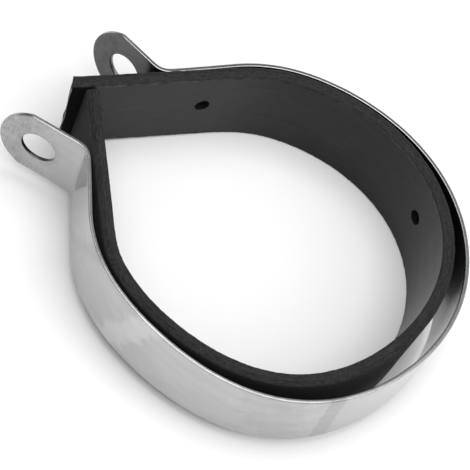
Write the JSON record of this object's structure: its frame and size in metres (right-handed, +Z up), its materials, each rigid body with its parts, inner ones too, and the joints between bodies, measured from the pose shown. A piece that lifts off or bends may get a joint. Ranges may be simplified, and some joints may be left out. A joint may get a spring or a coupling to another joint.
{
  "type": "exhaust strap clamp",
  "caption": "Open ring clamp of polished steel strip with two drilled ears and a loose black rubber liner, for holding a round pipe or silencer.",
  "frame": {"origin": "under the middle of the clamp's length and width, at the liner's lower edge", "axes": "+Z up along the ring's axis, -X from the ring towards the two ears, -Y towards the front ear"},
  "size_m": [0.139, 0.109, 0.0314],
  "materials": {
    "polished_steel": "polished stainless steel strip, faintly brushed at the ears",
    "black_rubber": "matte black rubber sheet with rough cut edges"
  },
  "bodies": {
    "rear": {"strap_rear": "polished_steel", "liner_rear": "black_rubber"},
    "front": {"strap_front": "polished_steel", "liner_front": "black_rubber"},
    "front_end": {"liner_front_end": "black_rubber"},
    "rear_end": {"liner_rear_end": "black_rubber"}
  },
  "joints": [
    {"name": "ears_close", "type": "hinge", "parent": "rear", "child": "front", "pos_m": [0.06882, 0, 0.0171], "axis": [0, 0, -1], "range_deg": [0, 12], "stiffness_Nm_per_rad": 12},
    {"name": "front_liner_end_swing", "type": "hinge", "parent": "front", "child": "front_end", "pos_m": [-0.04558, -0.0238, 0.0171], "axis": [0, 0, 1], "range_deg": [0, 55.4]},
    {"name": "rear_liner_end_swing", "type": "hinge", "parent": "rear", "child": "rear_end", "pos_m": [-0.0448, 0.0238, 0.0171], "axis": [0, 0, -1], "range_deg": [0, 56.6]}
  ],
  "couplings": [
    {"joint": "front_liner_end_swing", "follows": "ears_close", "ratio": 4.6},
    {"joint": "rear_liner_end_swing", "follows": "ears_close", "ratio": 4.7}
  ]
}
